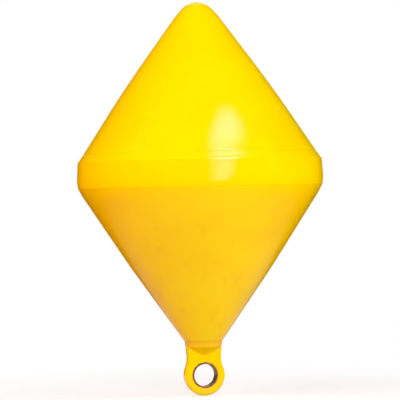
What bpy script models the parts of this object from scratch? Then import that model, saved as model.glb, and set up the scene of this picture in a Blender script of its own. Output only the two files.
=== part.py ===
"""Biconical marker buoy: one polyethylene moulding, with a metal bush in its mooring eye.

Metres, with +Z up along the float's axis. The origin is the centre of the mooring eye, whose
hole runs along Y. Heights are counted up from there: eye, neck, nose, lower cone, belt,
upper cone, crown.
"""

from math import cos, pi, radians, sin, sqrt, tan

import bmesh
import bpy
from mathutils import Vector

# Mooring eye and its bush
EYE_BORE_RADIUS = 0.01805
BUSH_WALL = 0.00235
BUSH_GAP = 0.0003
BUSH_RECESS = 0.0005
BUSH_CHAMFER = 0.0006
EYE_WALL = 0.0123
EYE_CHAMFER = 0.0012

# Lug: the flat plate that carries the eye
LUG_THICKNESS = 0.0195
LUG_EDGE_ROUNDING = 0.0045
LUG_ROOT = 0.035
NECK_LENGTH = 0.0213
NECK_STEP = 0.00795
NECK_FLARE = radians(4.5)
NECK_FILLET = 0.042

# Nose: a short steep skirt under a faint crease, then the blunt cone that stands on the lug
NOSE_OVERHANG = 0.0010
NOSE_CREASE_ROUNDING = 0.002
NOSE_SKIRT = 0.0070
NOSE_SKIRT_LEAN = radians(6)
NOSE_CHIN_ROUNDING = 0.004
NOSE_LEAN = radians(54)

# Lower cone: its side stands out a little at a bend about halfway up
LOWER_CONE_BELOW_BEND = 0.1190
LOWER_CONE_ABOVE_BEND = 0.1194
LOWER_BOW = 0.0027
SHOULDER_HEIGHT = 0.0129
SHOULDER_LEAN = radians(25.8)
SHOULDER_ROUNDING = 0.120

# Belt: widest low down, with a crisp rim below and a softer edge above
BELT_RADIUS = 0.2003
BELT_DROP = 0.0107
BELT_UNDERCUT = radians(9)
BELT_BELLY_ROUNDING = 0.060
BELT_RIM_ROUNDING = 0.003
BELT_RISE = 0.0310
BELT_DRAFT = radians(3.7)
BELT_EDGE_ROUNDING = 0.0055

# Upper cone and its rounded crown
UPPER_CONE_BELOW_BEND = 0.1192
UPPER_CONE_ABOVE_BEND = 0.1153
UPPER_BOW = 0.0044
BEND_ROUNDING = 0.300
CROWN_BASE_RADIUS = 0.0350
CROWN_LEAN = radians(43)
CROWN_BLEND = 0.133
CAP_RADIUS = 0.0325

# Faceting
HULL_STEPS = 96
EYE_STEPS = 72
ARC_STEP = radians(7)
LARGEST_ARC_CHORD = 0.012
LUG_EDGE_STEPS = 4
MERGE_DISTANCE = 1e-6

# Sizes that follow from those above
BUSH_RADIUS = EYE_BORE_RADIUS + BUSH_WALL
EYE_HOLE_RADIUS = BUSH_RADIUS + BUSH_GAP
EYE_RADIUS = EYE_HOLE_RADIUS + EYE_WALL
NECK_TOP = EYE_RADIUS + NECK_LENGTH
NECK_INSET = EYE_RADIUS - NECK_STEP
NECK_TOP_HALF_WIDTH = (NECK_INSET + NECK_TOP * sin(NECK_FLARE)) / cos(NECK_FLARE)
NOSE_RADIUS = NECK_TOP_HALF_WIDTH + NOSE_OVERHANG


def on_arc(start, start_direction, end_direction, radius):
    """Points of an arc that leaves start along one unit direction and ends along the other."""
    turn = start_direction.angle(end_direction)
    side = start_direction.orthogonal()
    if side.dot(end_direction) < 0:
        side = -side
    steps = max(2, round(turn / ARC_STEP), round(turn * radius / LARGEST_ARC_CHORD))
    angles = [turn * step / steps for step in range(steps + 1)]
    return [start + (start_direction * sin(a) + side * (1 - cos(a))) * radius for a in angles]


def rounded(corners):
    """The points of an open outline from its (u, v, rounding) corners, each rounded by an arc."""
    points = []
    for index, (u, v, rounding) in enumerate(corners):
        corner = Vector((u, v))
        if not rounding:
            points.append(corner)
            continue
        arriving = (corner - Vector(corners[index - 1][:2])).normalized()
        leaving = (Vector(corners[index + 1][:2]) - corner).normalized()
        tangent_length = rounding * tan(arriving.angle(leaving) / 2)
        points += on_arc(corner - arriving * tangent_length, arriving, leaving, rounding)
    return points


def bowed(low, high, height, bow):
    """A cone's bend: height above its lower end, and bow further out than a straight side."""
    share = height / (high.y - low.y)
    return low.x + (high.x - low.x) * share + bow, low.y + height


def hull_profile():
    """The float's turned outline as (radius, height) points, from the nose up to the crown."""
    nose = Vector((NOSE_RADIUS, NECK_TOP))
    chin = nose - Vector((NOSE_SKIRT * tan(NOSE_SKIRT_LEAN), NOSE_SKIRT))
    nose_tip = chin.y - chin.x / tan(NOSE_LEAN)
    shoulder_z = nose.y + LOWER_CONE_BELOW_BEND + LOWER_CONE_ABOVE_BEND
    rim_z = shoulder_z + SHOULDER_HEIGHT
    belly_z = rim_z + BELT_DROP
    belt_top_z = belly_z + BELT_RISE
    crown_z = belt_top_z + UPPER_CONE_BELOW_BEND + UPPER_CONE_ABOVE_BEND

    rim_radius = BELT_RADIUS - BELT_DROP * tan(BELT_UNDERCUT)
    shoulder = Vector((rim_radius - SHOULDER_HEIGHT * tan(SHOULDER_LEAN), shoulder_z))
    belt_top = Vector((BELT_RADIUS - BELT_RISE * tan(BELT_DRAFT), belt_top_z))
    crown = Vector((CROWN_BASE_RADIUS, crown_z))

    cap_corner = CAP_RADIUS * tan((pi / 2 - CROWN_LEAN) / 2)
    crown_top_z = crown.y + (crown.x - cap_corner) / tan(CROWN_LEAN)
    return rounded([
        (0, nose_tip, 0),
        (*chin, NOSE_CHIN_ROUNDING),
        (*nose, NOSE_CREASE_ROUNDING),
        (*bowed(nose, shoulder, LOWER_CONE_BELOW_BEND, LOWER_BOW), BEND_ROUNDING),
        (*shoulder, SHOULDER_ROUNDING),
        (rim_radius, rim_z, BELT_RIM_ROUNDING),
        (BELT_RADIUS, belly_z, BELT_BELLY_ROUNDING),
        (*belt_top, BELT_EDGE_ROUNDING),
        (*bowed(belt_top, crown, UPPER_CONE_BELOW_BEND, UPPER_BOW), BEND_ROUNDING),
        (*crown, CROWN_BLEND),
        (cap_corner, crown_top_z, CAP_RADIUS),
        (0, crown_top_z, 0),
    ])


def lug_outline():
    """The lug's (x, z) outline: the eye's round end, a fillet on each side, and the flaring neck."""
    up_the_neck = Vector((sin(NECK_FLARE), cos(NECK_FLARE)))
    out_of_it = Vector((cos(NECK_FLARE), -sin(NECK_FLARE)))
    reach = NECK_INSET + NECK_FILLET
    rise = sqrt((EYE_RADIUS + NECK_FILLET) ** 2 - reach ** 2)
    fillet_centre = out_of_it * reach + up_the_neck * rise

    root_z = NECK_TOP + LUG_ROOT
    root = Vector(((NECK_INSET + root_z * sin(NECK_FLARE)) / cos(NECK_FLARE), root_z))
    onto_eye = fillet_centre.normalized()
    down_the_eye = Vector((onto_eye.y, -onto_eye.x))
    fillet = on_arc(fillet_centre - out_of_it * NECK_FILLET, -up_the_neck, down_the_eye, NECK_FILLET)
    eye = on_arc(onto_eye * EYE_RADIUS, down_the_eye, Vector((-1, 0)), EYE_RADIUS)

    right = [root] + fillet + eye[1:]
    left = [Vector((-point.x, point.y)) for point in reversed(right[:-1])]
    return right + left


def material(name, colour, roughness, metallic):
    made = bpy.data.materials.new(name)
    made.use_nodes = True
    shader = made.node_tree.nodes["Principled BSDF"]
    shader.inputs["Base Color"].default_value = (*colour, 1)
    shader.inputs["Roughness"].default_value = roughness
    shader.inputs["Metallic"].default_value = metallic
    return made


def new_object(name, builder, finish=None):
    """An object made from a bmesh. One with no finish is a cutter or a blank, left out of renders."""
    bmesh.ops.recalc_face_normals(builder, faces=builder.faces)
    mesh = bpy.data.meshes.new(name)
    builder.to_mesh(mesh)
    builder.free()
    mesh.shade_smooth()
    mesh.set_sharp_from_angle(angle=radians(25))
    made = bpy.data.objects.new(name, mesh)
    bpy.context.scene.collection.objects.link(made)
    if finish:
        mesh.materials.append(finish)
    else:
        made.hide_render = True
        made.display_type = "WIRE"
    return made


def turned(profile, steps, closed=False):
    """A bmesh turned about Z from (radius, height) points."""
    builder = bmesh.new()
    ring = [builder.verts.new((r, 0, z)) for r, z in profile]
    following = ring[1:] + ring[:1] if closed else ring[1:]
    edges = [builder.edges.new(ends) for ends in zip(ring, following)]
    bmesh.ops.spin(builder, geom=ring + edges, cent=(0, 0, 0), axis=(0, 0, 1),
                   angle=2 * pi, steps=steps, use_merge=True)
    bmesh.ops.remove_doubles(builder, verts=builder.verts, dist=MERGE_DISTANCE)
    return builder


def lug_blank():
    """The lug before its hole is cut, with its root reaching up inside the float."""
    builder = bmesh.new()
    front = [builder.verts.new((x, -LUG_THICKNESS / 2, z)) for x, z in lug_outline()]
    grown = bmesh.ops.extrude_face_region(builder, geom=[builder.faces.new(front)])["geom"]
    back = [item for item in grown if isinstance(item, bmesh.types.BMVert)]
    bmesh.ops.translate(builder, verts=back, vec=(0, LUG_THICKNESS, 0))
    edges = [edge for edge in builder.edges if edge.verts[0].co.y == edge.verts[1].co.y]
    bmesh.ops.bevel(builder, geom=edges, offset=LUG_EDGE_ROUNDING, segments=LUG_EDGE_STEPS,
                    profile=0.5, affect="EDGES", material=-1)
    return new_object("lug_blank", builder)


def eye_cutter():
    """The eye's hole, turned about Z: it flares at each mouth into a chamfer on the lug's face."""
    face = LUG_THICKNESS / 2
    flare = 2 * EYE_CHAMFER
    half = [
        (0, face + EYE_CHAMFER),
        (EYE_HOLE_RADIUS + flare, face + EYE_CHAMFER),
        (EYE_HOLE_RADIUS, face + EYE_CHAMFER - flare),
    ]
    cutter = new_object("eye_cutter", turned(half + [(r, -z) for r, z in reversed(half)], EYE_STEPS))
    cutter.rotation_euler.x = pi / 2
    return cutter


def cut_or_join(target, operation, other):
    modifier = target.modifiers.new(f"{operation.lower()} {other.name}", "BOOLEAN")
    modifier.operation = operation
    modifier.object = other


def float_hull():
    """The whole moulding: the turned float and nose, with the lug grown out of it."""
    yellow = material("yellow_polyethylene", (1.0, 0.66, 0.0), 0.35, 0)
    hull = new_object("float_hull", turned(hull_profile(), HULL_STEPS), yellow)
    cut_or_join(hull, "UNION", lug_blank())
    cut_or_join(hull, "DIFFERENCE", eye_cutter())
    return hull


def eye_bush():
    """The tube that lines the eye, just inside the lug's two faces, with all its edges broken."""
    half_length = LUG_THICKNESS / 2 - BUSH_RECESS
    half = [
        (EYE_BORE_RADIUS, half_length - BUSH_CHAMFER),
        (EYE_BORE_RADIUS + BUSH_CHAMFER, half_length),
        (BUSH_RADIUS - BUSH_CHAMFER, half_length),
        (BUSH_RADIUS, half_length - BUSH_CHAMFER),
    ]
    section = half + [(r, -z) for r, z in reversed(half)]
    brown_metal = material("browned_steel", (0.16, 0.09, 0.06), 0.45, 1)
    bush = new_object("eye_bush", turned(section, EYE_STEPS, closed=True), brown_metal)
    bush.rotation_euler.x = pi / 2
    return bush


def main():
    for leftover in list(bpy.data.objects):
        bpy.data.objects.remove(leftover)
    eye_bush().parent = float_hull()


main()
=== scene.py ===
# %% [markdown]
# # A biconical marker buoy
#
# This object is a small moored float: two cones of yellow polyethylene, base to base, with a narrow
# belt between them, and at the lower end a flat lug whose eye is lined with a brown metal bush.
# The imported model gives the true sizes. This lesson keeps them, and makes the fine surface, the
# finishes, the light and the view around them.

# %% Load the frame
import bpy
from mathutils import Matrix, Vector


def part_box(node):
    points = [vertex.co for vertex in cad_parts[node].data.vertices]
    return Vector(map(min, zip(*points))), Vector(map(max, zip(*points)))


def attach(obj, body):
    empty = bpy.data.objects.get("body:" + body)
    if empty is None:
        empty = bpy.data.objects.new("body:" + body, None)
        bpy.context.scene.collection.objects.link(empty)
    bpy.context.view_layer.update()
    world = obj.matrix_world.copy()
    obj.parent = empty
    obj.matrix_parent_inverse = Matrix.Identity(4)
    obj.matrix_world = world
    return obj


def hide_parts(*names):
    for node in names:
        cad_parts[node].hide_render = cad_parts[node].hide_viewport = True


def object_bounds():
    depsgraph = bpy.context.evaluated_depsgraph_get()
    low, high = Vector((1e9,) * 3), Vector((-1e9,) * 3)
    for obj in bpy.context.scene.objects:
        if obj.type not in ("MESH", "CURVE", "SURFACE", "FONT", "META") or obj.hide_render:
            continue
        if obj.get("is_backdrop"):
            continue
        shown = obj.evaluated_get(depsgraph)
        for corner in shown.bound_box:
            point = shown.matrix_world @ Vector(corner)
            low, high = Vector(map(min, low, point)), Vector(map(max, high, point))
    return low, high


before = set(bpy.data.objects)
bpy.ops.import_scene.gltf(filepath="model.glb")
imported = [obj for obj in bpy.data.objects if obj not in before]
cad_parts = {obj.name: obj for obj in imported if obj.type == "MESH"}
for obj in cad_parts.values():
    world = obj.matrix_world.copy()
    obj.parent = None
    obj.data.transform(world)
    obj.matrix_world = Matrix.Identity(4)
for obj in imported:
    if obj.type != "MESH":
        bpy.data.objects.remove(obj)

packed_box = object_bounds()
print("packed model spans", [tuple(round(v, 4) for v in corner) for corner in packed_box])

# %% [markdown]
# Blender can grade a picture as film does, which softens strong colours. This buoy is one strong
# yellow, so the Standard view is used instead: it shows a colour about as it is written.

# %% Import the modelling tools
from math import cos, pi, radians, sin, sqrt, tan

import bmesh
import bpy
from mathutils import Matrix, Vector

scene = bpy.context.scene
scene.view_settings.view_transform = "Standard"
print("colours are shown with the", scene.view_settings.view_transform, "view")

# %% [markdown]
# ## The camera
#
# A product photograph is taken from some metres away with a long lens, so that the two cones keep
# their true outline. Here the camera stands a little to the left of the lug's square-on view, which
# shows the right inner wall of the eye, and at the belt's height, which shows the belt's lower rim
# as a straight line. A wide lens close by would be easier to place, but it would bend both rims.

# %% Camera
VIEW_AZIMUTH = radians(-12)
CAMERA_DISTANCE = 3.5
CAMERA_HEIGHT = 0.290
FRAME_WIDTH = 0.648
SENSOR_WIDTH = 36
AIM_SIDE = -0.0008
AIM_HEIGHT = 0.2835
CAMERA_ROLL = radians(-1.2)


def seen_from_camera(side, depth, height):
    """A place given across, along and up the line of sight, turned into the object's own axes."""
    return Matrix.Rotation(VIEW_AZIMUTH, 3, "Z") @ Vector((side, depth, height))


def facing(eye, target):
    """The rotation that points a camera or lamp at eye towards target."""
    return (target - eye).to_track_quat("-Z", "Y").to_matrix().to_4x4()


camera_data = bpy.data.cameras.new("camera")
camera_data.sensor_width = SENSOR_WIDTH
camera_data.lens = SENSOR_WIDTH * CAMERA_DISTANCE / FRAME_WIDTH
camera = bpy.data.objects.new("camera", camera_data)
scene.collection.objects.link(camera)
scene.camera = camera

camera_place = seen_from_camera(AIM_SIDE, -CAMERA_DISTANCE, CAMERA_HEIGHT)
camera_aim = seen_from_camera(AIM_SIDE, 0, AIM_HEIGHT)
camera.matrix_world = (
    Matrix.Translation(camera_place)
    @ facing(camera_place, camera_aim)
    @ Matrix.Rotation(CAMERA_ROLL, 4, "Z")
)
print(f"lens {camera_data.lens:.0f} mm, {CAMERA_DISTANCE} m away")

# %% [markdown]
# ## Small helpers for shaders
#
# The world, the floor, the panels, the tent and the two finishes are all node trees. A few short
# helpers keep them readable: one adds a node and sets it, and the others are sums that come up again
# and again. Each sum gives back the socket that the next node is linked to.

# %% Nodes and sums
def node(tree, kind, **settings):
    """Adds a shader node and sets its properties and inputs by name."""
    added = tree.nodes.new(kind)
    for name, value in settings.items():
        if hasattr(added, name):
            setattr(added, name, value)
        else:
            added.inputs[name.replace("_", " ")].default_value = value
    return added


def remapped(tree, value, low, high, to_low=0.0, to_high=1.0):
    """A value whose range low to high becomes to_low to to_high, with soft ends."""
    ranged = node(tree, "ShaderNodeMapRange", interpolation_type="SMOOTHSTEP")
    for name, number in (("From Min", low), ("From Max", high), ("To Min", to_low), ("To Max", to_high)):
        ranged.inputs[name].default_value = number
    tree.links.new(value, ranged.inputs["Value"])
    return ranged.outputs["Result"]


def product(tree, first, second):
    """Two values multiplied."""
    times = node(tree, "ShaderNodeMath", operation="MULTIPLY")
    tree.links.new(first, times.inputs[0])
    tree.links.new(second, times.inputs[1])
    return times.outputs[0]


def object_place(tree):
    """The place of a surface point in its object's own coordinates."""
    return node(tree, "ShaderNodeTexCoord").outputs["Object"]


def length_of(tree, place):
    """How far a place lies from the origin."""
    length = node(tree, "ShaderNodeVectorMath", operation="LENGTH")
    tree.links.new(place, length.inputs[0])
    return length.outputs["Value"]


# %% [markdown]
# ## The white surroundings
#
# The buoy is shown on plain white. A white world could do all the lighting too, but then every
# surface would be lit the same from all sides. So the world looks white to the camera and in
# reflections, and gives a dimmer light to the surfaces. The Light Path node tells the two apart.

# %% What is seen, and what gives light
def seen_directly(tree):
    """1 for what the camera sees, straight or in a reflection, and 0 for light on surfaces."""
    path = node(tree, "ShaderNodeLightPath")
    either = node(tree, "ShaderNodeMath", operation="MAXIMUM")
    tree.links.new(path.outputs["Is Camera Ray"], either.inputs[0])
    tree.links.new(path.outputs["Is Glossy Ray"], either.inputs[1])
    any_of_three = node(tree, "ShaderNodeMath", operation="MAXIMUM")
    tree.links.new(either.outputs[0], any_of_three.inputs[0])
    tree.links.new(path.outputs["Is Transmission Ray"], any_of_three.inputs[1])
    return any_of_three.outputs[0]


# %% White world
WORLD_FILL = 0.15

world = bpy.data.worlds.new("studio_world")
world.use_nodes = True
scene.world = world
sky = world.node_tree
backdrop = sky.nodes["Background"]
backdrop.inputs["Color"].default_value = (1, 1, 1, 1)
sky.links.new(remapped(sky, seen_directly(sky), 0, 1, WORLD_FILL, 1), backdrop.inputs["Strength"])
print(f"world: strength 1 where it is seen, {WORLD_FILL} as light")

# %% [markdown]
# The floor is a real pale floor close to the buoy, where it holds a faint shadow, and turns into the
# same plain white further away. Under these lamps its paint would come out grey beside the white
# world, so near the buoy the paint has a glow added to it. Only the camera and reflections see that
# glow, so the floor throws no more light on the buoy than its paint does.

# %% Floor paint
FLOOR_COLOUR = (0.5, 0.5, 0.5, 1)
FLOOR_LIFT = 0.55
SHADOW_REACH = 0.15
WHITE_REACH = 0.70

floor_finish = bpy.data.materials.new("white_floor")
floor_finish.use_nodes = True
tree = floor_finish.node_tree
painted = tree.nodes["Principled BSDF"]
painted.inputs["Base Color"].default_value = FLOOR_COLOUR
painted.inputs["Roughness"].default_value = 0.9
painted.inputs["Specular IOR Level"].default_value = 0.1

seen = seen_directly(tree)
lift = node(tree, "ShaderNodeEmission", Color=(1, 1, 1, 1))
tree.links.new(remapped(tree, seen, 0, 1, 0, FLOOR_LIFT), lift.inputs["Strength"])
lifted = node(tree, "ShaderNodeAddShader")
tree.links.new(painted.outputs["BSDF"], lifted.inputs[0])
tree.links.new(lift.outputs["Emission"], lifted.inputs[1])

fading = remapped(tree, length_of(tree, object_place(tree)), SHADOW_REACH, WHITE_REACH)
plain_white = node(tree, "ShaderNodeEmission", Color=(1, 1, 1, 1), Strength=1.0)
blend = node(tree, "ShaderNodeMixShader")
tree.links.new(product(tree, fading, seen), blend.inputs["Fac"])
tree.links.new(lifted.outputs["Shader"], blend.inputs[1])
tree.links.new(plain_white.outputs["Emission"], blend.inputs[2])
tree.links.new(blend.outputs["Shader"], tree.nodes["Material Output"].inputs["Surface"])
print(f"floor paint: turns white between {SHADOW_REACH} and {WHITE_REACH} m from the eye")


# %% Floor
def new_object(name, shape):
    """An object at the origin that holds a bmesh."""
    mesh = bpy.data.meshes.new(name)
    shape.to_mesh(mesh)
    shape.free()
    made = bpy.data.objects.new(name, mesh)
    scene.collection.objects.link(made)
    return made


FLOOR_REACH = 30

float_low, float_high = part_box("float_hull")
sheet = bmesh.new()
bmesh.ops.create_grid(sheet, x_segments=1, y_segments=1, size=FLOOR_REACH)
bmesh.ops.translate(sheet, verts=sheet.verts, vec=(0, 0, float_low.z))
floor = new_object("floor", sheet)
floor.data.materials.append(floor_finish)
floor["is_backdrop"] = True
print(f"floor at {float_low.z:.4f} m, under the lug")

# %% [markdown]
# ## The lamps
#
# The photograph has hardly any shadow on the upper cone, and a warm one on the left of the lower
# cone. That is what wide soft boxes from above and in front give, with gold reflectors standing low:
# they throw orange light up into the shade, which keeps a yellow thing from going green there. One
# bare lamp would leave half of the float dark. These lamps light surfaces only: the reflection that
# makes the highlight is a step of its own, so that the two can be set apart from each other.

# %% Soft boxes and gold reflectors
def soft_box(name, place, target, width, height, radiance, colour):
    """An area lamp whose surface is as bright as radiance, aimed from place at target."""
    lamp = bpy.data.lights.new(name, "AREA")
    lamp.shape = "RECTANGLE"
    lamp.size = width
    lamp.size_y = height
    lamp.color = colour
    lamp.energy = radiance * pi * width * height
    made = bpy.data.objects.new(name, lamp)
    scene.collection.objects.link(made)
    spot = seen_from_camera(*place)
    made.matrix_world = Matrix.Translation(spot) @ facing(spot, seen_from_camera(*target))
    made.visible_camera = False
    made.visible_glossy = False
    print(f"{name}: {width} x {height} m, {lamp.energy:.1f} W")


WHITE_LIGHT = (1, 1, 1)
GOLD_LIGHT = (1, 0.12, 0.02)
MIDDLE = (0, 0, 0.28)
soft_box("overhead", (0, -0.3, 2.3), MIDDLE, 1.6, 1.6, 0.6, WHITE_LIGHT)
soft_box("front", (0.44, -2.48, 0.91), MIDDLE, 1.6, 0.8, 10.4, WHITE_LIGHT)
soft_box("left", (-1.44, -0.52, 1.57), MIDDLE, 1.0, 1.0, 5.5, WHITE_LIGHT)
soft_box("right", (1.44, -0.30, 1.57), MIDDLE, 1.0, 1.0, 2.8, WHITE_LIGHT)
soft_box("right_low", (1.93, -0.52, 0.42), MIDDLE, 1.0, 0.6, 3.4, WHITE_LIGHT)
soft_box("back", (0, 2.4, 1.3), MIDDLE, 1.6, 0.8, 3.0, WHITE_LIGHT)
soft_box("gold_left", (-1.55, -0.45, 0.25), (0, 0, 0.25), 1.0, 0.5, 5.2, GOLD_LIGHT)
soft_box("gold_right", (0.9, -0.6, 0.05), (0, 0, 0.3), 0.8, 0.2, 4.0, GOLD_LIGHT)

# %% [markdown]
# ## The highlight
#
# The highlight has three parts. On the cone it is an upright oval, on the belt a paler bar, and where
# they meet there is a thin bright line. Two panels make it, which only reflections see. Real soft
# boxes are brightest in their middle, and these are planes whose glow fades towards their edges, so
# that the highlight has soft edges. A rougher surface would soften it too, but it would also smear
# it along the cone. In the photograph the highlight hardly gains any green over the yellow around
# it, and white light would add green, so the glow is a little pink.

# %% Panels that only reflections see
PANEL_GLOW = (1, 0.45, 0.95, 1)


def only_reflected(stage_object):
    """Leaves a stage object to reflections: no camera, surface or shadow sees it."""
    stage_object.visible_camera = False
    stage_object.visible_diffuse = False
    stage_object.visible_shadow = False
    stage_object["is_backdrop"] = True


def glowing_panel(name, place, target, roll, width, height):
    """A stage panel. Gives its node tree, the sockets of its two coordinates, and its glow's."""
    finish = bpy.data.materials.new(name)
    finish.use_nodes = True
    tree = finish.node_tree
    split = node(tree, "ShaderNodeSeparateXYZ")
    tree.links.new(object_place(tree), split.inputs[0])
    glow = node(tree, "ShaderNodeEmission", Color=PANEL_GLOW)
    tree.links.new(glow.outputs["Emission"], tree.nodes["Material Output"].inputs["Surface"])

    sheet = bmesh.new()
    bmesh.ops.create_grid(sheet, x_segments=1, y_segments=1, size=0.5)
    bmesh.ops.scale(sheet, verts=sheet.verts, vec=(width, height, 1))
    panel = new_object(name, sheet)
    panel.data.materials.append(finish)
    spot = seen_from_camera(*place)
    panel.matrix_world = (Matrix.Translation(spot) @ facing(spot, seen_from_camera(*target))
                          @ Matrix.Rotation(roll, 4, "Z"))
    only_reflected(panel)
    print(f"{name}: {width} x {height:.2f} m")
    return tree, split.outputs["X"], split.outputs["Y"], glow.inputs["Strength"]


# %% [markdown]
# The cone leans back, so it mirrors what hangs overhead. It is round from side to side, which
# squeezes what it mirrors, and straight from top to bottom, which doesn't. So the upright oval is
# the image of a long strip light that lies across: the strip's length makes the oval's width, and
# its breadth the oval's height. The cone would bend a straight strip into a slanted leaf, so this
# one is bent the other way. On its panel the strip is a bent ellipse: each point is straightened,
# measured in half lengths and half breadths, and glows less the further it lies from the middle.

# %% Strip light over the cone
STRIP_PLACE = (0.452, -0.496, 1.467)
STRIP_TARGET = (0.042, -0.164, 0.390)
STRIP_ROLL = radians(-20.5)
STRIP_LENGTH = 1.04
STRIP_BREADTH = 0.13
STRIP_PANEL_HEIGHT = 3 * STRIP_BREADTH
STRIP_BEND = 0.25
STRIP_CORE = 0.18
STRIP_EDGE = 0.88
STRIP_RADIANCE = 21.0

tree, across, along, strength = glowing_panel("strip_light", STRIP_PLACE, STRIP_TARGET, STRIP_ROLL,
                                              STRIP_LENGTH, STRIP_PANEL_HEIGHT)
straightened = node(tree, "ShaderNodeMath", operation="MULTIPLY_ADD")
straightened.inputs[1].default_value = -STRIP_BEND
tree.links.new(product(tree, across, across), straightened.inputs[0])
tree.links.new(along, straightened.inputs[2])
ellipse = node(tree, "ShaderNodeCombineXYZ")
for coordinate, size, end in ((across, STRIP_LENGTH, "X"), (straightened.outputs[0], STRIP_BREADTH, "Y")):
    scaled = node(tree, "ShaderNodeMath", operation="MULTIPLY")
    scaled.inputs[1].default_value = 2 / size
    tree.links.new(coordinate, scaled.inputs[0])
    tree.links.new(scaled.outputs[0], ellipse.inputs[end])
from_middle = length_of(tree, ellipse.outputs[0])
tree.links.new(remapped(tree, from_middle, STRIP_CORE, STRIP_EDGE, STRIP_RADIANCE, 0), strength)
strip_rise = STRIP_BEND * (STRIP_LENGTH / 2) ** 2
print(f"strip light: its ends lie {strip_rise * 1000:.0f} mm off the straight line")

# %% [markdown]
# The belt is nearly upright, so it mirrors a tall soft box that leans over it from the front, and
# the rounded edge above the belt squeezes the whole box into a thin line. A line so thin looks dull
# unless what it mirrors is very bright. The upper part of the box shows in that edge and not in the
# belt, so it can be made several times as bright as the rest without changing the bar on the belt.

# %% Tall soft box before the belt
TALL_PLACE = (0.505, -1.241, 0.621)
TALL_TARGET = (0.505, -0.518, -0.070)
TALL_ROLL = radians(5.5)
TALL_WIDTH = 0.76
TALL_HEIGHT = 1.86
TALL_SLANT = 0.25
TALL_SIDE_CORE = 0.02
TALL_TOP = 0.88
TALL_TOP_SOFTNESS = 0.04
TALL_FOOT_AT = -0.8
TALL_FOOT_RADIANCE = 9.5
TALL_MIDDLE_AT = -0.1
TALL_MIDDLE_RADIANCE = 13.0
TALL_BRIGHT_FROM = 0.4
TALL_TOP_GAIN = 4.0

tree, across, along, strength = glowing_panel("tall_box", TALL_PLACE, TALL_TARGET, TALL_ROLL,
                                              TALL_WIDTH, TALL_HEIGHT)
slanted = node(tree, "ShaderNodeMath", operation="MULTIPLY_ADD")
slanted.inputs[1].default_value = -TALL_SLANT
tree.links.new(across, slanted.inputs[0])
tree.links.new(along, slanted.inputs[2])
upward = slanted.outputs[0]
aside = node(tree, "ShaderNodeMath", operation="ABSOLUTE")
tree.links.new(across, aside.inputs[0])

sides = remapped(tree, aside.outputs[0], TALL_SIDE_CORE, TALL_WIDTH / 2, 1, 0)
top = remapped(tree, upward, TALL_TOP - TALL_TOP_SOFTNESS, TALL_TOP + TALL_TOP_SOFTNESS, 1, 0)
rising = remapped(tree, upward, TALL_FOOT_AT, TALL_MIDDLE_AT, TALL_FOOT_RADIANCE, TALL_MIDDLE_RADIANCE)
gain = remapped(tree, upward, TALL_MIDDLE_AT, TALL_BRIGHT_FROM, 1, TALL_TOP_GAIN)
tree.links.new(product(tree, product(tree, sides, top), product(tree, rising, gain)), strength)
print(f"tall box: radiance {TALL_MIDDLE_RADIANCE} in its middle, {TALL_TOP_GAIN} times that at its top")

# %% [markdown]
# ## The black tent
#
# A glossy thing on white gets pale sides, because at a glancing angle it mirrors the background. A
# photographer puts it in a black tent with only the back and the middle of the floor left white, and
# the colour stays deep right to the outline. The tent here is one line spun round the float: out
# along the floor, up the wall and back under the roof. Only reflections see it. The cloth on the
# floor starts out see-through and turns black with distance, so that no edge of it shows.

# %% Black cloth
CLEAR_REACH = 0.15
BLACK_REACH = 0.75

tent_finish = bpy.data.materials.new("black_cloth")
tent_finish.use_nodes = True
tree = tent_finish.node_tree
cloth = tree.nodes["Principled BSDF"]
cloth.inputs["Base Color"].default_value = (0, 0, 0, 1)
cloth.inputs["Specular IOR Level"].default_value = 0
blackening = remapped(tree, length_of(tree, object_place(tree)), CLEAR_REACH, BLACK_REACH)
blend = node(tree, "ShaderNodeMixShader")
tree.links.new(blackening, blend.inputs["Fac"])
tree.links.new(node(tree, "ShaderNodeBsdfTransparent").outputs["BSDF"], blend.inputs[1])
tree.links.new(cloth.outputs["BSDF"], blend.inputs[2])
tree.links.new(blend.outputs["Shader"], tree.nodes["Material Output"].inputs["Surface"])
print(f"cloth: clear within {CLEAR_REACH} m of the eye, black past {BLACK_REACH} m")

# %% Tent
TENT_RADIUS = 2.6
TENT_TOP = 2.8
TENT_OPENING = radians(17)
TENT_STEPS = 48
FLOOR_CLEARANCE = 0.002

tent_shape = bmesh.new()
first = Matrix.Rotation(TENT_OPENING, 3, "Z") @ seen_from_camera(0, 1, 0)
line = [
    tent_shape.verts.new(first * radius + Vector((0, 0, height)))
    for radius, height in (
        (CLEAR_REACH, float_low.z + FLOOR_CLEARANCE),
        (TENT_RADIUS, float_low.z + FLOOR_CLEARANCE),
        (TENT_RADIUS, TENT_TOP),
        (0, TENT_TOP),
    )
]
stretches = [tent_shape.edges.new(ends) for ends in zip(line, line[1:])]
bmesh.ops.spin(tent_shape, geom=line + stretches, cent=(0, 0, 0), axis=(0, 0, 1),
               angle=2 * pi - 2 * TENT_OPENING, steps=TENT_STEPS, use_merge=False)
bmesh.ops.remove_doubles(tent_shape, verts=tent_shape.verts, dist=FLOOR_CLEARANCE)
tent = new_object("black_tent", tent_shape)
tent.data.materials.append(tent_finish)
only_reflected(tent)
print(f"tent: {len(tent.data.polygons)} faces, {TENT_TOP} m high")

# %% [markdown]
# ## The float's outline
#
# A mould for such a float is turned on a lathe, so the float is one outline turned about its axis.
# It could be stacked from cone primitives, but their seams would need hiding. A wire with one vertex
# for each corner is closer to the toolmaker's drawing: every corner is then rounded with the bevel
# operator, as the toolmaker rounds it with a cutter, and the spin operator turns the wire.
#
# Heights and radii are in metres. The belt's radius, the crown's height and the eye's radius are
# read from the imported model.

# %% Sizes of the turned float
belt_radius = float_high.x
crown_top = float_high.z
eye_radius = -float_low.z

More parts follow.
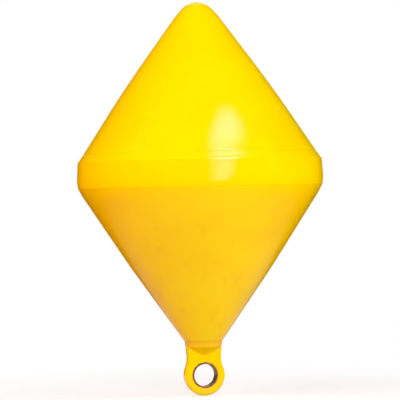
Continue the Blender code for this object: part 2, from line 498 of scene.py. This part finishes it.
NECK_LENGTH = 0.0213
NECK_STEP = 0.00795
NECK_FLARE = radians(4.5)
neck_top = eye_radius + NECK_LENGTH
neck_inset = eye_radius - NECK_STEP


def neck_half_width(height):
    """Half the lug's width at a height in its neck, which flares upward."""
    return (neck_inset + height * sin(NECK_FLARE)) / cos(NECK_FLARE)


NOSE_OVERHANG = 0.0010
NOSE_SKIRT = 0.0070
NOSE_SKIRT_LEAN = radians(6)
NOSE_LEAN = radians(54)
nose = Vector((neck_half_width(neck_top) + NOSE_OVERHANG, neck_top))
chin = nose - Vector((NOSE_SKIRT * tan(NOSE_SKIRT_LEAN), NOSE_SKIRT))
nose_tip = chin.y - chin.x / tan(NOSE_LEAN)

LOWER_CONE_BELOW_BEND = 0.1190
LOWER_CONE_ABOVE_BEND = 0.1194
SHOULDER_HEIGHT = 0.0129
SHOULDER_LEAN = radians(25.8)
BELT_DROP = 0.0107
BELT_UNDERCUT = radians(9)
rim = Vector((
    belt_radius - BELT_DROP * tan(BELT_UNDERCUT),
    neck_top + LOWER_CONE_BELOW_BEND + LOWER_CONE_ABOVE_BEND + SHOULDER_HEIGHT,
))
shoulder = rim - Vector((SHOULDER_HEIGHT * tan(SHOULDER_LEAN), SHOULDER_HEIGHT))

BELT_RISE = 0.0310
BELT_DRAFT = radians(3.7)
belly = Vector((belt_radius, rim.y + BELT_DROP))
belt_top = belly + Vector((-BELT_RISE * tan(BELT_DRAFT), BELT_RISE))

UPPER_CONE_BELOW_BEND = 0.1192
UPPER_CONE_ABOVE_BEND = 0.1153
CROWN_BASE_RADIUS = 0.0350
CROWN_LEAN = radians(43)
crown = Vector((CROWN_BASE_RADIUS, belt_top.y + UPPER_CONE_BELOW_BEND + UPPER_CONE_ABOVE_BEND))
cap_corner = crown.x - (crown_top - crown.y) * tan(CROWN_LEAN)
print(f"rim at {rim.y:.4f}, belt top at {belt_top.y:.4f}, crown at {crown.y:.4f} m")


# %% Points between two corners
def between(low, high, height, bow):
    """A point at height above low, set out by bow from the straight line up to high."""
    return low.lerp(high, height / (high.y - low.y)) + Vector((bow, 0))


LOWER_BOW = 0.0027
UPPER_BOW = 0.0044
lower_bend = between(nose, shoulder, LOWER_CONE_BELOW_BEND, LOWER_BOW)
upper_bend = between(belt_top, crown, UPPER_CONE_BELOW_BEND, UPPER_BOW)

MOULD_LINE_HEIGHT = 0.0130
MOULD_LINE_BOW = -0.0002
mould_line = between(belt_top, upper_bend, MOULD_LINE_HEIGHT, MOULD_LINE_BOW)
print(f"bends at {lower_bend.y:.4f} and {upper_bend.y:.4f}, mould line at {mould_line.y:.4f} m")

# %% [markdown]
# The roundings are what tells moulded plastic from turned metal. The belt's lower rim is crisp, its
# upper edge is softer, and the bends of the two cones are so gentle that only the outline shows
# them. Just above the belt the upper cone's slope changes very slightly, at the mould line. The fine
# groove there is too narrow for this mesh, and comes with the plastic's finish.

# %% Draw the outline and round its corners
ARC_STEP = radians(5)
FEWEST_ARC_STEPS = 3
RING_SPACING = 0.0045

outline_corners = [
    (Vector((0, nose_tip)), 0),
    (chin, 0.004),
    (nose, 0.002),
    (lower_bend, 0.300),
    (shoulder, 0.120),
    (rim, 0.003),
    (belly, 0.060),
    (belt_top, 0.0055),
    (mould_line, 0.020),
    (upper_bend, 1.500),
    (crown, 0.133),
    (Vector((cap_corner, crown_top)), 0.0325),
    (Vector((0, crown_top)), 0),
]


def rounded_wire(corners, closed=False):
    """A wire through ((radius, height), rounding) corners, each rounded by the bevel operator."""
    wire = bmesh.new()
    verts = [wire.verts.new((corner.x, 0, corner.y)) for corner, rounding in corners]
    for ends in zip(verts, verts[1:] + verts[:1] if closed else verts[1:]):
        wire.edges.new(ends)
    for vert, (corner, rounding) in zip(verts, corners):
        if rounding:
            sides = [edge.other_vert(vert).co - vert.co for edge in vert.link_edges]
            turn = pi - sides[0].angle(sides[1])
            bmesh.ops.bevel(wire, geom=[vert], offset=rounding * tan(turn / 2), offset_type="OFFSET",
                            segments=max(FEWEST_ARC_STEPS, round(turn / ARC_STEP)), profile=0.5,
                            affect="VERTICES", material=-1)
    return wire


def divide_long_edges(wire, spacing):
    """Adds vertices along a wire, so that no edge is longer than spacing."""
    for edge in list(wire.edges):
        cuts = int(edge.calc_length() / spacing)
        if cuts:
            bmesh.ops.subdivide_edges(wire, edges=[edge], cuts=cuts)


outline = rounded_wire(outline_corners)
divide_long_edges(outline, RING_SPACING)
print(f"the outline has {len(outline.verts)} points")

# %% [markdown]
# ## Turning the float
#
# The spin operator sweeps the wire once round the axis. Its ends meet on the axis at the crown and
# at the nose, and after the doubles are merged the shape is closed. The nose and the lug grow into
# each other, so the float is cut off just above the nose, and that end is made in the next step.

# %% Turn the outline
HULL_STEPS = 224
JOIN_HEIGHT = 0.062
JOIN_GAP = 0.001
MERGE_DISTANCE = 1e-6


def turned(wire, steps):
    """A closed shape from a wire swept once round the Z axis."""
    bmesh.ops.spin(wire, geom=wire.verts[:] + wire.edges[:], cent=(0, 0, 0), axis=(0, 0, 1),
                   angle=2 * pi, steps=steps, use_merge=True)
    bmesh.ops.remove_doubles(wire, verts=wire.verts, dist=MERGE_DISTANCE)
    bmesh.ops.recalc_face_normals(wire, faces=wire.faces)
    return wire


def cut_level(shape, height, keep):
    """Cuts a shape at a height and keeps its part above or below the cut."""
    bmesh.ops.bisect_plane(shape, geom=shape.verts[:] + shape.edges[:] + shape.faces[:],
                           plane_co=(0, 0, height), plane_no=(0, 0, 1),
                           clear_inner=keep == "above", clear_outer=keep == "below")
    return shape


hull = cut_level(turned(outline.copy(), HULL_STEPS), JOIN_HEIGHT + JOIN_GAP / 2, "above")
print(f"the turned float has {len(hull.faces)} faces")

# %% [markdown]
# ## The lug
#
# The lug is a thick flat plate whose lower end is round about its eye. Its outline is drawn as a
# draughtsman would with a pair of compasses: one vertex is swung about a centre, and the path that
# it leaves is an arc. Half is drawn, mirrored, filled and pulled to its thickness. Then both faces'
# edges are bevelled. Cutting a plate from a cylinder and a box would leave a corner in the fillet.

# %% Draw half of the lug's outline
NECK_FILLET = 0.042
LUG_ROOT_TOP = 0.066
FILLET_STEPS = 24
EYE_STEPS = 72

reach = neck_inset + NECK_FILLET
rise = sqrt((eye_radius + NECK_FILLET) ** 2 - reach ** 2)
fillet_centre = Vector((
    reach * cos(NECK_FLARE) + rise * sin(NECK_FLARE),
    0,
    rise * cos(NECK_FLARE) - reach * sin(NECK_FLARE),
))
fillet_start = fillet_centre - Vector((cos(NECK_FLARE), 0, -sin(NECK_FLARE))) * NECK_FILLET
fillet_turn = (fillet_start - fillet_centre).angle(-fillet_centre)
eye_turn = Vector((0, 0, -1)).angle(fillet_centre)


def swing(shape, vertex, centre, angle, steps):
    """Swings a vertex about a centre in the lug's plane, and returns the end of its arc."""
    swept = bmesh.ops.spin(shape, geom=[vertex], cent=centre, axis=(0, 1, 0),
                           angle=angle, steps=steps, use_merge=False)
    return swept["geom_last"][0]


lug = bmesh.new()
middle = lug.verts.new((0, 0, LUG_ROOT_TOP))
corner = lug.verts.new((neck_half_width(LUG_ROOT_TOP), 0, LUG_ROOT_TOP))
start = lug.verts.new(fillet_start)
lug.edges.new((middle, corner))
lug.edges.new((corner, start))
end = swing(lug, start, fillet_centre, -fillet_turn, FILLET_STEPS)
end = swing(lug, end, (0, 0, 0), eye_turn, EYE_STEPS)
print(f"half outline ends at x {end.co.x:.5f}, z {end.co.z:.5f}")

# %% Fill it out to a plate
LUG_THICKNESS = 0.0195
LUG_EDGE_ROUNDING = 0.0045
LUG_EDGE_STEPS = 8

bmesh.ops.mirror(lug, geom=lug.verts[:] + lug.edges[:], axis="X", merge_dist=MERGE_DISTANCE)
bmesh.ops.remove_doubles(lug, verts=lug.verts, dist=MERGE_DISTANCE)
bmesh.ops.translate(lug, verts=lug.verts, vec=(0, -LUG_THICKNESS / 2, 0))
face = bmesh.ops.edgeloop_fill(lug, edges=lug.edges)["faces"]
grown = bmesh.ops.extrude_face_region(lug, geom=face)["geom"]
bmesh.ops.translate(lug, verts=[item for item in grown if isinstance(item, bmesh.types.BMVert)],
                    vec=(0, LUG_THICKNESS, 0))
flat_edges = [edge for edge in lug.edges if abs(edge.verts[0].co.y - edge.verts[1].co.y) < MERGE_DISTANCE]
bmesh.ops.bevel(lug, geom=flat_edges, offset=LUG_EDGE_ROUNDING, offset_type="OFFSET",
                segments=LUG_EDGE_STEPS, profile=0.5, affect="EDGES", material=-1)
bmesh.ops.recalc_face_normals(lug, faces=lug.faces)
print(f"lug plate: {len(lug.faces)} faces, {LUG_THICKNESS * 1000:.1f} mm thick")

# %% [markdown]
# Cutting one shape with another, and remeshing a shape into even faces, are modifiers and not bmesh
# operators. A modifier needs an object, so for these two steps the shape is put into a helper object
# and its evaluated mesh is read back.

# %% Read back what a modifier made
def applied(helper):
    """The bmesh of a helper object with its modifiers applied. The helper itself is removed."""
    bpy.context.view_layer.update()
    shape = bmesh.new()
    shape.from_object(helper, bpy.context.evaluated_depsgraph_get())
    bpy.data.objects.remove(helper)
    return shape


def add_copy(shape, other):
    """Copies another bmesh into shape."""
    carrier = bpy.data.meshes.new("carrier")
    other.to_mesh(carrier)
    other.free()
    shape.from_mesh(carrier)
    bpy.data.meshes.remove(carrier)


# %% [markdown]
# The hole is cut with a trumpet-shaped cutter: a straight bore that flares at both faces, so that
# the rim of the hole comes out rounded. The plastic flows round the bush there when it is moulded.

# %% Cut the eye's hole
bush_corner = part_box("eye_bush")[1]
bush_radius = bush_corner.x
bush_half_length = bush_corner.y
BUSH_GAP = 0.0003
EYE_MOUTH_ROUNDING = 0.0022
CUTTER_OVERSHOOT = 0.0003


def laid_along_y(shape):
    """Turns a shape from the Z axis to the eye's own axis, which is Y."""
    bmesh.ops.rotate(shape, verts=shape.verts, cent=(0, 0, 0), matrix=Matrix.Rotation(pi / 2, 3, "X"))
    return shape


hole_radius = bush_radius + BUSH_GAP
lug_face = LUG_THICKNESS / 2
cutter_half = [
    (Vector((hole_radius, lug_face)), EYE_MOUTH_ROUNDING),
    (Vector((hole_radius + 2 * EYE_MOUTH_ROUNDING, lug_face + CUTTER_OVERSHOOT)), 0),
    (Vector((0, lug_face + CUTTER_OVERSHOOT)), 0),
]
cutter_corners = [(Vector((c.x, -c.y)), rounding) for c, rounding in reversed(cutter_half)] + cutter_half
cutter = new_object("eye_cutter", laid_along_y(turned(rounded_wire(cutter_corners), 2 * EYE_STEPS)))
lug_plate = new_object("lug_plate", lug)
cut = lug_plate.modifiers.new("eye", "BOOLEAN")
cut.operation = "DIFFERENCE"
cut.object = cutter
lower_end = applied(lug_plate)
bpy.data.objects.remove(cutter)
print(f"hole radius {hole_radius * 1000:.2f} mm, lug with hole: {len(lower_end.faces)} faces")

# %% [markdown]
# ## Lug and nose in one flow
#
# On the real buoy the lug isn't stuck on: plastic flows from the nose into it through a small
# fillet. A Boolean union would leave a sharp corner all round, and its uneven edge can't be
# bevelled cleanly. So nose and lug are remeshed together into small even faces, like one lump of
# clay, and the corner between them is smoothed until it is a fillet. Above the nose the faces are
# set back on the exact cone, so that no seam shows where the turned float takes over.

# %% Remesh the nose and the lug together
VOXEL = 0.0007
NOSE_BLANK_TOP = 0.070
NOSE_STEPS = 160

nose_blank = cut_level(turned(outline.copy(), NOSE_STEPS), NOSE_BLANK_TOP, "below")
open_rim = [edge for edge in nose_blank.edges if edge.is_boundary]
bmesh.ops.holes_fill(nose_blank, edges=open_rim)
add_copy(lower_end, nose_blank)
clay = new_object("clay", lower_end)
remesh = clay.modifiers.new("even faces", "REMESH")
remesh.mode = "VOXEL"
remesh.voxel_size = VOXEL
lower_end = applied(clay)
print(f"remeshed lower end: {len(lower_end.faces)} faces")

# %% Smooth the fillet
SURFACE_PASSES = 2
FILLET_PASSES = ((0.0030, 8), (0.0020, 10))


def smooth(shape, verts, passes):
    """Moves each vertex half way to the middle of its neighbours, a number of times."""
    for _ in range(passes):
        bmesh.ops.smooth_vert(shape, verts=verts, factor=0.5,
                              use_axis_x=True, use_axis_y=True, use_axis_z=True)


def near_junction(point, span):
    """True near the line where the lug's surface meets the nose's."""
    radius = Vector(point.xy).length
    off_cone = (radius - (point.z - nose_tip) * tan(NOSE_LEAN)) * cos(NOSE_LEAN)
    off_skirt = radius - chin.x - (point.z - chin.y) * tan(NOSE_SKIRT_LEAN)
    off_lug = max(abs(point.y) - lug_face, abs(point.x) - neck_half_width(point.z))
    return abs(max(off_cone, off_skirt)) < span and abs(off_lug) < span


smooth(lower_end, lower_end.verts, SURFACE_PASSES)
for span, passes in FILLET_PASSES:
    touched = [vert for vert in lower_end.verts if near_junction(vert.co, span)]
    smooth(lower_end, touched, passes)
    print(f"fillet {span * 1000:.0f} mm wide: {len(touched)} vertices smoothed {passes} times")

# %% Join it to the turned float
SNAP_FROM = 0.0565
SNAP_FULL = 0.0595

cone_slope = (lower_bend.x - nose.x) / (lower_bend.y - nose.y)
for vert in lower_end.verts:
    if SNAP_FROM < vert.co.z < JOIN_HEIGHT + JOIN_GAP:
        share = min(1, (vert.co.z - SNAP_FROM) / (SNAP_FULL - SNAP_FROM))
        true_radius = nose.x + (vert.co.z - nose.y) * cone_slope
        scale = 1 + share * (true_radius / Vector(vert.co.xy).length - 1)
        vert.co.xy = vert.co.xy * scale
cut_level(lower_end, JOIN_HEIGHT - JOIN_GAP / 2, "below")
add_copy(hull, lower_end)
rims = [edge for edge in hull.edges if edge.is_boundary]
bmesh.ops.bridge_loops(hull, edges=rims)
bmesh.ops.recalc_face_normals(hull, faces=hull.faces)
triangles = sum(len(face.verts) - 2 for face in hull.faces)
closed = all(edge.is_manifold for edge in hull.edges)
print(f"bridged {len(rims)} edges; hull: {triangles} triangles, closed: {closed}")

# %% [markdown]
# ## The bush
#
# The bush is a short thick-walled tube, which the lug was moulded around. Its section is a small
# rectangle with broken edges, turned about the eye's own axis. It stays just inside the lug's two
# faces, where a shackle's ears would otherwise rub it.

# %% Turn the bush
EYE_BORE_RADIUS = 0.01805
BUSH_EDGE_ROUNDING = 0.0007
BUSH_STEPS = 160
BUSH_SPACING = 0.0015

bush_section = [
    (Vector((radius, height)), BUSH_EDGE_ROUNDING)
    for radius, height in (
        (EYE_BORE_RADIUS, -bush_half_length),
        (bush_radius, -bush_half_length),
        (bush_radius, bush_half_length),
        (EYE_BORE_RADIUS, bush_half_length),
    )
]
section = rounded_wire(bush_section, closed=True)
divide_long_edges(section, BUSH_SPACING)
bush = laid_along_y(turned(section, BUSH_STEPS))
print(f"bush: {len(bush.faces)} faces, bore {EYE_BORE_RADIUS * 2000:.1f} mm")

# %% [markdown]
# ## The yellow polyethylene
#
# The plastic is coloured right through and comes glossy out of its mould. Up close it isn't one
# flat yellow: the pigment is a little cloudy, and weather leaves faint runs down the lower cone. The
# skirt of the nose, which sits in shade under the cone beside the lug, is painted darker as shade.
# The surface has the slight orange peel of a moulded skin, and a fine groove runs round it just above
# the belt, as where two parts of a mould meet. One noise texture on the colour alone would look
# printed on, so colour, roughness and bump each get their own.

# %% Textures, mixes and bumps
def new_finish(name):
    """A material with a Principled shader, its node tree, and its object coordinates."""
    finish = bpy.data.materials.new(name)
    finish.use_nodes = True
    return finish, finish.node_tree.nodes["Principled BSDF"], object_place(finish.node_tree)


def noise(tree, place, scale, stretch=(1, 1, 1), detail=2.0):
    """Noise on object coordinates, with scale in waves to the metre."""
    mapping = node(tree, "ShaderNodeMapping", vector_type="POINT")
    mapping.inputs["Scale"].default_value = stretch
    texture = node(tree, "ShaderNodeTexNoise", Scale=scale, Detail=detail)
    tree.links.new(place, mapping.inputs["Vector"])
    tree.links.new(mapping.outputs["Vector"], texture.inputs["Vector"])
    return texture.outputs["Fac"]


def mixed(tree, share, base, over):
    """Two colours mixed by share. Each is a colour or the output of another node."""
    mix = node(tree, "ShaderNodeMix", data_type="RGBA")
    for socket, colour in ((mix.inputs[6], base), (mix.inputs[7], over)):
        if isinstance(colour, tuple):
            socket.default_value = (*colour, 1)
        else:
            tree.links.new(colour, socket)
    tree.links.new(share, mix.inputs[0])
    return mix.outputs[2]


def bump(tree, height, distance, strength, under=None):
    """A bump of a height texture, laid over another bump's normal if one is given."""
    bumps = node(tree, "ShaderNodeBump", Distance=distance, Strength=strength)
    tree.links.new(height, bumps.inputs["Height"])
    if under:
        tree.links.new(under, bumps.inputs["Normal"])
    return bumps.outputs["Normal"]


# %% Cloudy pigment
FRESH_YELLOW = (0.99, 0.71, 0.0)
CLOUDY_YELLOW = (0.97, 0.67, 0.0)
CLOUD_SCALE = 9.0
CLOUD_RANGE = (0.38, 0.62)

yellow, shader, place = new_finish("moulded_yellow")
tree = yellow.node_tree
clouds = remapped(tree, noise(tree, place, CLOUD_SCALE), *CLOUD_RANGE)
pigment = mixed(tree, clouds, FRESH_YELLOW, CLOUDY_YELLOW)
print(f"pigment clouds are about {1000 / CLOUD_SCALE:.0f} mm across")

# %% Weather runs, and painted shade on the nose's skirt
# This orange colours the weather runs on the lower cone, and also the painted shade on the nose's skirt.
RUNS_AND_PAINTED_SHADE = (0.80, 0.42, 0.01)
RUN_STRETCH = (55, 55, 4)
RUN_RANGE = (0.52, 0.75)
RUN_FADE = 0.08
RUN_SHARE = 0.16
# How dark the painted shade on the nose's skirt is, and where it fades in below the chin and out above
# the nose.
NOSE_PAINTED_SHADE = 0.60
SHADE_BELOW_CHIN = 0.002
SHADE_ABOVE_CHIN = 0.003
SHADE_ABOVE_NOSE = 0.006

runs = remapped(tree, noise(tree, place, 1.0, stretch=RUN_STRETCH, detail=3.0), *RUN_RANGE)
split = node(tree, "ShaderNodeSeparateXYZ")
tree.links.new(place, split.inputs[0])
height = split.outputs["Z"]
below_belt = remapped(tree, height, rim.y, rim.y - RUN_FADE, 0.0, RUN_SHARE)
streaked = mixed(tree, product(tree, runs, below_belt), pigment, RUNS_AND_PAINTED_SHADE)
# Painted shade: the skirt of the nose, which lies in shade under the cone beside the lug, is darkened
# towards the runs' orange.
above_chin = remapped(tree, height, chin.y - SHADE_BELOW_CHIN, chin.y + SHADE_ABOVE_CHIN, 0.0, NOSE_PAINTED_SHADE)
below_nose = remapped(tree, height, nose.y, nose.y + SHADE_ABOVE_NOSE, 1.0, 0.0)
colour = mixed(tree, product(tree, above_chin, below_nose), streaked, RUNS_AND_PAINTED_SHADE)
tree.links.new(colour, shader.inputs["Base Color"])
print(f"runs fade in over {RUN_FADE * 1000:.0f} mm below the belt")

# %% Gloss, groove and orange peel
SURFACE_SHINE = 0.13
WEAR_SCALE = 26.0
WEAR_RANGE = (0.3, 0.7)
GLOSSY_ROUGHNESS = 0.05
WORN_ROUGHNESS = 0.08
MOULD_LINE_WIDTH = 0.003
MOULD_LINE_DEPTH = 0.0004
MOULD_LINE_STRENGTH = 0.9
PEEL_SCALE = 160.0
PEEL_DEPTH = 0.0004
PEEL_STRENGTH = 0.01
WAVE_SCALE = 18.0
WAVE_DEPTH = 0.004
WAVE_STRENGTH = 0.03

shader.inputs["Specular IOR Level"].default_value = SURFACE_SHINE
wear = noise(tree, place, WEAR_SCALE, detail=4.0)
roughness = remapped(tree, wear, *WEAR_RANGE, GLOSSY_ROUGHNESS, WORN_ROUGHNESS)
tree.links.new(roughness, shader.inputs["Roughness"])

off_line = node(tree, "ShaderNodeMath", operation="SUBTRACT")
off_line.inputs[1].default_value = mould_line.y
tree.links.new(height, off_line.inputs[0])
from_line = node(tree, "ShaderNodeMath", operation="ABSOLUTE")
tree.links.new(off_line.outputs[0], from_line.inputs[0])
out_of_groove = remapped(tree, from_line.outputs[0], 0, MOULD_LINE_WIDTH / 2)
groove = bump(tree, out_of_groove, MOULD_LINE_DEPTH, MOULD_LINE_STRENGTH)
peel = bump(tree, noise(tree, place, PEEL_SCALE), PEEL_DEPTH, PEEL_STRENGTH, under=groove)
waves = bump(tree, noise(tree, place, WAVE_SCALE, detail=1.0), WAVE_DEPTH, WAVE_STRENGTH, under=peel)
tree.links.new(waves, shader.inputs["Normal"])
print(f"{yellow.name}: {len(tree.nodes)} nodes, groove at {mould_line.y:.4f} m")

# %% [markdown]
# ## The browned metal
#
# The bush is steel that has gone brown in salt water. Fresh rust would be orange and rough. This is
# the thin dark skin that forms under grease and wear, so the metal is partly metallic, with cloudy
# patches of lighter, rougher rust over a dark ground.

# %% Browned steel
DARK_SKIN = (0.10, 0.050, 0.022)
RUST = (0.27, 0.14, 0.045)
PATCH_SCALE = 230.0
PATCH_RANGE = (0.42, 0.66)
SKIN_ROUGHNESS = 0.33
RUST_ROUGHNESS = 0.62
GRAIN_SCALE = 900.0
GRAIN_DEPTH = 0.0002
GRAIN_STRENGTH = 0.25

brown, shader, place = new_finish("browned_metal")
tree = brown.node_tree
shader.inputs["Metallic"].default_value = 0.55
shader.inputs["Specular IOR Level"].default_value = 0.2
patches = remapped(tree, noise(tree, place, PATCH_SCALE, detail=5.0), *PATCH_RANGE)
tree.links.new(mixed(tree, patches, DARK_SKIN, RUST), shader.inputs["Base Color"])
tree.links.new(remapped(tree, patches, 0, 1, SKIN_ROUGHNESS, RUST_ROUGHNESS), shader.inputs["Roughness"])
grain = bump(tree, noise(tree, place, GRAIN_SCALE, detail=3.0), GRAIN_DEPTH, GRAIN_STRENGTH)
tree.links.new(grain, shader.inputs["Normal"])
print(f"{brown.name}: {len(tree.nodes)} nodes, patches about {1000 / PATCH_SCALE:.0f} mm across")

# %% [markdown]
# ## Putting the pieces on the frame
#
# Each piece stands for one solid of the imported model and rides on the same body. The buoy has no
# joints, so there is only one body, called root. The pieces are shaded smooth as a whole: every edge
# that looks crisp is a narrow rounding in the mesh, so none has to be marked as sharp.

# %% Finish the pieces
for name, shape, finish, slot, solid in (
    ("buoy_float", hull, yellow, "yellow_polyethylene", "float_hull"),
    ("mooring_bush", bush, brown, "browned_steel", "eye_bush"),
):
    piece = new_object(name, shape)
    piece.data.shade_smooth()
    piece.data.materials.append(finish)
    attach(piece, "root")
    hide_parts(solid)
    print(f"{name} stands for {solid}, {len(piece.data.polygons)} faces")

# %% [markdown]
# The finished pieces should fill the imported model's box and never stick out of it. Both boxes are
# printed. They differ by about a third of a millimetre on each side of the belt, because its widest
# corner is sharp in the imported model and gently rounded here.

# %% Compare the sizes
finished_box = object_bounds()
for label, corners in (("packed", packed_box), ("finished", finished_box)):
    print(label, [tuple(round(value * 1000, 2) for value in corner) for corner in corners])
